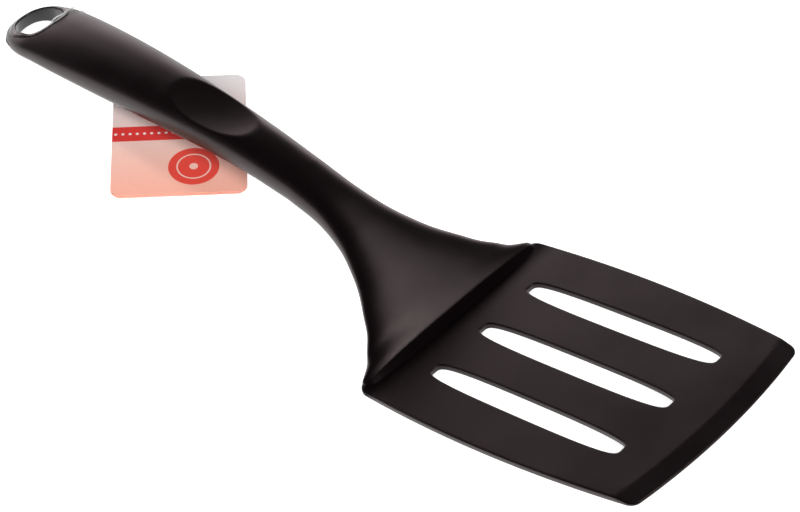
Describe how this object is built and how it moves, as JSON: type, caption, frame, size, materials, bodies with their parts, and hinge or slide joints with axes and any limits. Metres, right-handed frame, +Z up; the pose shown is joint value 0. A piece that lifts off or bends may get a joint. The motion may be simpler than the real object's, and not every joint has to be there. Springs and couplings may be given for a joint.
{
  "type": "slotted spatula",
  "caption": "Kitchen turner with a slotted, bowed blade, a flared neck, a grip with a thumb rest, a hanging eye and a folded tag on a clear filament.",
  "frame": {"origin": "on the table, midway between the handle's end and the blade's front edge, on the spatula's centre line", "axes": "+X from the handle towards the blade, +Y across to the left, +Z up; the spatula rests on its heel and its handle's end at z = 0"},
  "size_m": [0.3312, 0.093, 0.0356],
  "materials": {
    "body_nylon": "fine matte moulded nylon, black with a faint warm tone",
    "cover_nylon": "matte moulded nylon",
    "eye_liner": "polished black plastic",
    "printed_card": null,
    "plain_card": "coated card, pink",
    "clear_filament": "clear nylon"
  },
  "bodies": {
    "turner": {"turner": "body_nylon", "grip_cover": "cover_nylon", "hanging_eye": "eye_liner", "tag_loop": "clear_filament", "loop_lock": "clear_filament"},
    "tag": {"tag_front": "printed_card", "tag_back": "plain_card"}
  },
  "joints": [
    {"name": "tag_turn", "type": "hinge", "parent": "turner", "child": "tag", "pos_m": [-0.108, 0.003, 0.0012], "axis": [0, 0, 1], "range_deg": [-45, 45]}
  ]
}
